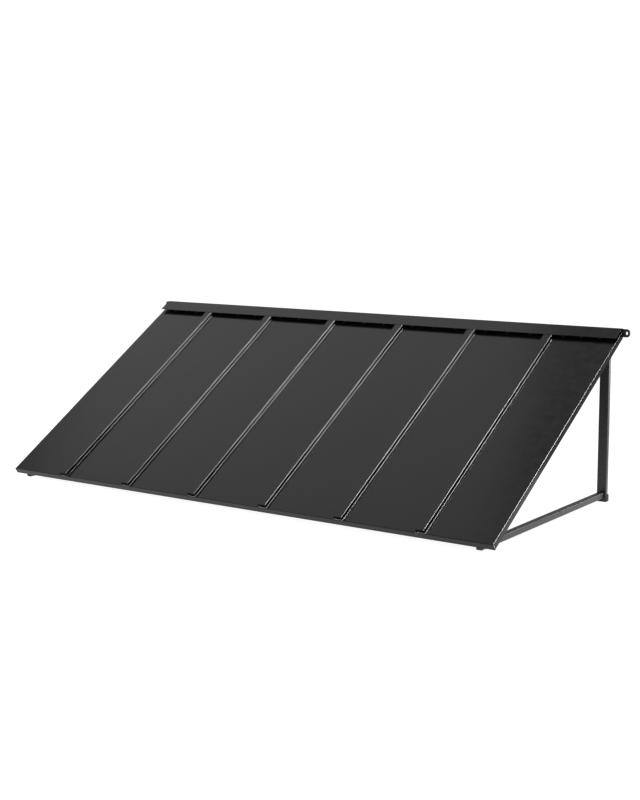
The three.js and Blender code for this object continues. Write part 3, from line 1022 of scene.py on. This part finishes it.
def rail_welds(tubes, roof):
    """Three beads at each end of each rail: below it, in front of it and behind it."""
    half = tubes.rail / 2
    reach = half - tubes.corner
    beads = []
    for row in RAIL_ROWS:
        for side in SIDES:
            name = f"{row}_rail_{side}"
            along, rise = roof.local(middle(name))
            for x in (corners(name)[0][0], corners(name)[1][0]):
                ends = [
                    ((along - reach, rise - half), (along + reach, rise - half)),
                    ((along - half, rise - reach), (along - half, rise + reach)),
                    ((along + half, rise - reach), (along + half, rise + reach)),
                ]
                beads += [(roof.points(x, *a), roof.points(x, *b)) for a, b in ends]
    return beads


def rafter_welds(tubes, roof):
    """Beads up both sides of each rafter's upright top cut, and one across below it."""
    beads = []
    for side in RAFTERS:
        low, high = corners(f"{side}_rafter")
        top_rise = roof.rail_top - tubes.corner
        low_rise = roof.rail_top - tubes.rafter_depth
        top = roof.points(0, roof.along_at(high[1], top_rise), top_rise)
        bottom = roof.points(0, roof.along_at(high[1], low_rise), low_rise)
        inset = tubes.corner
        for x in (low[0], high[0]):
            beads.append((bottom * [0, 1, 1] + [x, 0, inset], top * [0, 1, 1] + [x, 0, 0]))
        across = bottom * [0, 1, 1]
        beads.append((across + [low[0] + inset, 0, 0], across + [high[0] - inset, 0, 0]))
        if side != "middle":
            foot = roof.points(0, roof.along_at_height(low[2], low_rise), low_rise) * [0, 1, 1]
            beads.append((foot + [low[0] + inset, 0, 0], foot + [high[0] - inset, 0, 0]))
    return beads


class AWNING_OT_welds(bpy.types.Operator):
    """Make the coated weld beads that join rails, rafters and posts"""

    bl_idname = "awning.welds"
    bl_label = "Weld beads"

    def execute(self, context):
        _, tubes, roof = measures(context)
        groups = {"rail_welds": rail_welds(tubes, roof), "rafter_welds": rafter_welds(tubes, roof)}
        for name, beads in groups.items():
            points, faces = joined([weld_bead(start, end, tubes.weld) for start, end in beads])
            new_piece(name, points, faces, frame_coat(context), "frame_coat")
        return {"FINISHED"}


class AWNING_OT_rib_closures(bpy.types.Operator):
    """Colour the blocks in the ribs' open ends: real closures whose near-black foam is painted shade for
    the dark inside the ribs
    """

    bl_idname = "awning.rib_closures"
    bl_label = "Rib closures"

    def execute(self, context):
        for number in range(1, RIB_COUNT + 1):
            # The closures' near-black foam is painted shade for the dark inside the ribs
            dress(f"rib_closure_{number}", closure_foam(context))
        return {"FINISHED"}


class AWNING_OT_seam_clips(bpy.types.Operator):
    """Plate the hidden clips that hold the seams to the rails"""

    bl_idname = "awning.seam_clips"
    bl_label = "Seam clips"

    def execute(self, context):
        for row in RAIL_ROWS:
            for number in range(1, RIB_COUNT + 1):
                dress(f"{row}_clip_{number}", clip_zinc(context))
        return {"FINISHED"}


def screw_head(roof, x, along, seat, across, height, stations):
    """A screw head on the roof: loops round the roof's normal from the seat to a shallow dome.

    A loop on the hexagon has the radius apothem / cos(angle from the middle of its side).
    """
    turn = np.linspace(0, 2 * math.pi, SCREW_SIDES, endpoint=False)
    wedge = 2 * math.pi / HEXAGON
    hexagon = 1 / np.cos((turn % wedge) - wedge / 2)
    loops = []
    for share_out, share_up, six_sided in stations:
        reach = across / 2 * share_out * (hexagon if six_sided else np.ones_like(turn))
        rise = seat + share_up * height
        loops.append(roof.points(x + reach * np.cos(turn), along + reach * np.sin(turn), rise))
    return loft(loops)


class AWNING_OT_screws(bpy.types.Operator):
    """Make the screws in the clips' feet and in the pans' tops under the flashing"""

    bl_idname = "awning.screws"
    bl_label = "Screws"

    def execute(self, context):
        sizes, tubes, roof = measures(context)
        top_along = roof.local(middle("top_rail_left"))[0]
        shells = []
        for number in range(1, PAN_COUNT + 1):
            low, high = corners(f"panel_{number}")
            edges = low[0] + 2 * sizes.rib_width, high[0] - 2 * sizes.rib_width
            for x in np.linspace(*edges, 3):
                head = screw_head(roof, x, top_along, 0, tubes.screw, 0.55 * tubes.screw, HEX_HEAD)
                shells.append(head)
        self.settle("pan_screws", shells, frame_coat(context), "frame_coat")

        shells = []
        for row in RAIL_ROWS:
            for number in range(1, RIB_COUNT + 1):
                node_name = f"{row}_clip_{number}"
                foot_end = corners(node_name)[1][0]
                along = roof.local(middle(node_name))[0]
                x = foot_end - 1.3 * tubes.screw
                seat = roof.rail_top + sizes.fit + CLIP_SHEET
                head = screw_head(roof, x, along, seat, tubes.screw, 0.3 * tubes.screw, PAN_HEAD)
                shells.append(head)
        self.settle("clip_screws", shells, clip_zinc(context), "clip_steel")
        return {"FINISHED"}

    @staticmethod
    def settle(name, shells, material, slot):
        screws = new_piece(name, *joined(shells), material, slot)
        ease_edges(screws, SMALL_EDGE)


# Stage


def floor_finish(stage):
    """A pale sweep that is lit from below, with a faint cloudiness."""
    material, tree, shader, coordinates = blank_material("pale_floor")
    pale = tinted(tree, noise(tree, coordinates, 0.8, 3), shaded(stage.floor, 0.97), stage.floor)
    tree.links.new(pale, shader.inputs["Base Color"])
    shader.inputs["Roughness"].default_value = 0.7
    shader.inputs["Specular IOR Level"].default_value = 0.0
    shader.inputs["Emission Color"].default_value = (1, 1, 1, 1)
    shader.inputs["Emission Strength"].default_value = stage.floor_glow
    return material


def make_floor(stage):
    """A round floor: rings of growing radius about its shifted middle, level with the boots' bases."""
    low, high = (np.array(corner) for corner in CAD_BOX)
    centre = (low + high) / 2 + stage.floor_shift
    radius = stage.floor_reach * np.linspace(0.002, 1, FLOOR_RINGS)[:, None] ** 2
    turn = np.linspace(0, 2 * math.pi, FLOOR_SIDES, endpoint=False)
    grid = np.stack(np.broadcast_arrays(
        centre[0] + radius * np.cos(turn), centre[1] + radius * np.sin(turn), low[2]
    ), -1)
    ids = np.arange(grid[..., 0].size).reshape(grid.shape[:2])
    mesh = bpy.data.meshes.new("floor")
    faces = [*quads(ringed(ids)[::-1]).tolist(), ids[0].tolist()]
    mesh.from_pydata(grid.reshape(-1, 3).tolist(), [], faces)
    mesh.materials.append(floor_finish(stage))
    floor = bpy.data.objects.new("floor", mesh)
    bpy.context.scene.collection.objects.link(floor)


def make_camera(stage):
    """A camera at the photo's place: turned to its azimuth, tilted down and leaned a little."""
    camera = bpy.data.objects.new("camera", bpy.data.cameras.new("camera"))
    camera.data.lens = stage.lens
    camera.data.clip_start = 0.1
    camera.data.clip_end = 100
    turned = Matrix.Rotation(stage.azimuth, 4, "Z")
    tilted = Matrix.Rotation(math.pi / 2 - stage.tilt, 4, "X")
    leaned = Matrix.Rotation(stage.roll, 4, "Z")
    camera.matrix_world = Matrix.Translation(stage.camera) @ turned @ tilted @ leaned
    bpy.context.scene.collection.objects.link(camera)
    bpy.context.scene.camera = camera


def soft_light(name, spot, aim, size, glow):
    """A rectangular soft light that faces its aim; its power is pi * area * radiance."""
    width, height = size
    lamp = bpy.data.lights.new(name, "AREA")
    lamp.shape = "RECTANGLE"
    lamp.size, lamp.size_y = width, height
    lamp.energy = math.pi * width * height * glow
    light = bpy.data.objects.new(name, lamp)
    light.location = spot
    light.rotation_euler = (Vector(aim) - Vector(spot)).to_track_quat("-Z", "Y").to_euler()
    bpy.context.scene.collection.objects.link(light)
    return light


def make_sky(stage):
    """An even soft light all round, and a white backdrop where the camera looks past the floor."""
    world = bpy.data.worlds.new("studio")
    world.use_nodes = True
    tree = world.node_tree
    tree.nodes.clear()
    soft = node(tree, "ShaderNodeBackground", Color=(1, 1, 1, 1), Strength=stage.sky)
    white = node(tree, "ShaderNodeBackground", Color=(1, 1, 1, 1), Strength=BACKDROP)
    path = tree.nodes.new("ShaderNodeLightPath")
    mix = tree.nodes.new("ShaderNodeMixShader")
    out = tree.nodes.new("ShaderNodeOutputWorld")
    tree.links.new(path.outputs["Is Camera Ray"], mix.inputs[0])
    tree.links.new(soft.outputs[0], mix.inputs[1])
    tree.links.new(white.outputs[0], mix.inputs[2])
    tree.links.new(mix.outputs[0], out.inputs["Surface"])
    bpy.context.scene.world = world


def tube_group():
    """The visible tubes as a collection of their own, for the light that only they receive."""
    group = bpy.data.collections.new("tubes")
    for piece in bpy.context.scene.collection.objects:
        if piece.name.startswith("tube_"):
            group.objects.link(piece)
    return group


class AWNING_OT_stage(bpy.types.Operator):
    """Set up the pale floor, the soft lights and the camera"""

    bl_idname = "awning.stage"
    bl_label = "Stage"

    def execute(self, context):
        stage = context.scene.awning_stage
        make_floor(stage)
        make_camera(stage)
        make_sky(stage)
        aim = middle("middle_rafter")
        edge = soft_light("edge_light", EDGE_PLACE, aim, EDGE_SIZE, stage.edge)
        edge.visible_diffuse = False
        soft_light("fill_light", FILL_PLACE, FILL_AIM, FILL_SIZE, stage.fill)
        soft_light("front_light", FRONT_PLACE, aim, FRONT_SIZE, stage.front)
        side = soft_light("side_light", SIDE_PLACE, middle("right_post"), SIDE_SIZE, stage.side)
        side.light_linking.receiver_collection = tube_group()
        context.scene.view_settings.view_transform = "Standard"
        return {"FINISHED"}


class AWNING_PT_pieces(bpy.types.Panel):
    """The awning's pieces and sizes"""

    bl_idname = "AWNING_PT_pieces"
    bl_label = "Metal awning"
    bl_space_type = "VIEW_3D"
    bl_region_type = "UI"
    bl_category = "Awning"

    def draw(self, context):
        for operator in OPERATORS:
            self.layout.operator(operator.bl_idname)
        for store in STORES:
            group = getattr(context.scene, store)
            box = self.layout.box()
            for name in group.bl_rna.properties.keys():
                if name not in ("rna_type", "name"):
                    box.prop(group, name)


STORES = {
    "awning_roof": AwningRoofSizes,
    "awning_frame": AwningFrameSizes,
    "awning_finishes": AwningFinishes,
    "awning_stage": AwningStageSizes,
}
OPERATORS = (
    AWNING_OT_roof_pans,
    AWNING_OT_ridge_flashing,
    AWNING_OT_header_bar,
    AWNING_OT_tubes,
    AWNING_OT_plugs,
    AWNING_OT_corner_boots,
    AWNING_OT_rib_closures,
    AWNING_OT_seam_clips,
    AWNING_OT_welds,
    AWNING_OT_screws,
    AWNING_OT_stage,
)
CLASSES = (*STORES.values(), *OPERATORS, AWNING_PT_pieces)


def register():
    for kind in CLASSES:
        bpy.utils.register_class(kind)
    for store, kind in STORES.items():
        setattr(bpy.types.Scene, store, bpy.props.PointerProperty(type=kind))


def unregister():
    for store in STORES:
        delattr(bpy.types.Scene, store)
    for kind in reversed(CLASSES):
        bpy.utils.unregister_class(kind)


def main():
    register()
    for operator in OPERATORS:
        group, name = operator.bl_idname.split(".")
        getattr(getattr(bpy.ops, group), name)()


if __name__ == "__main__":
    main()
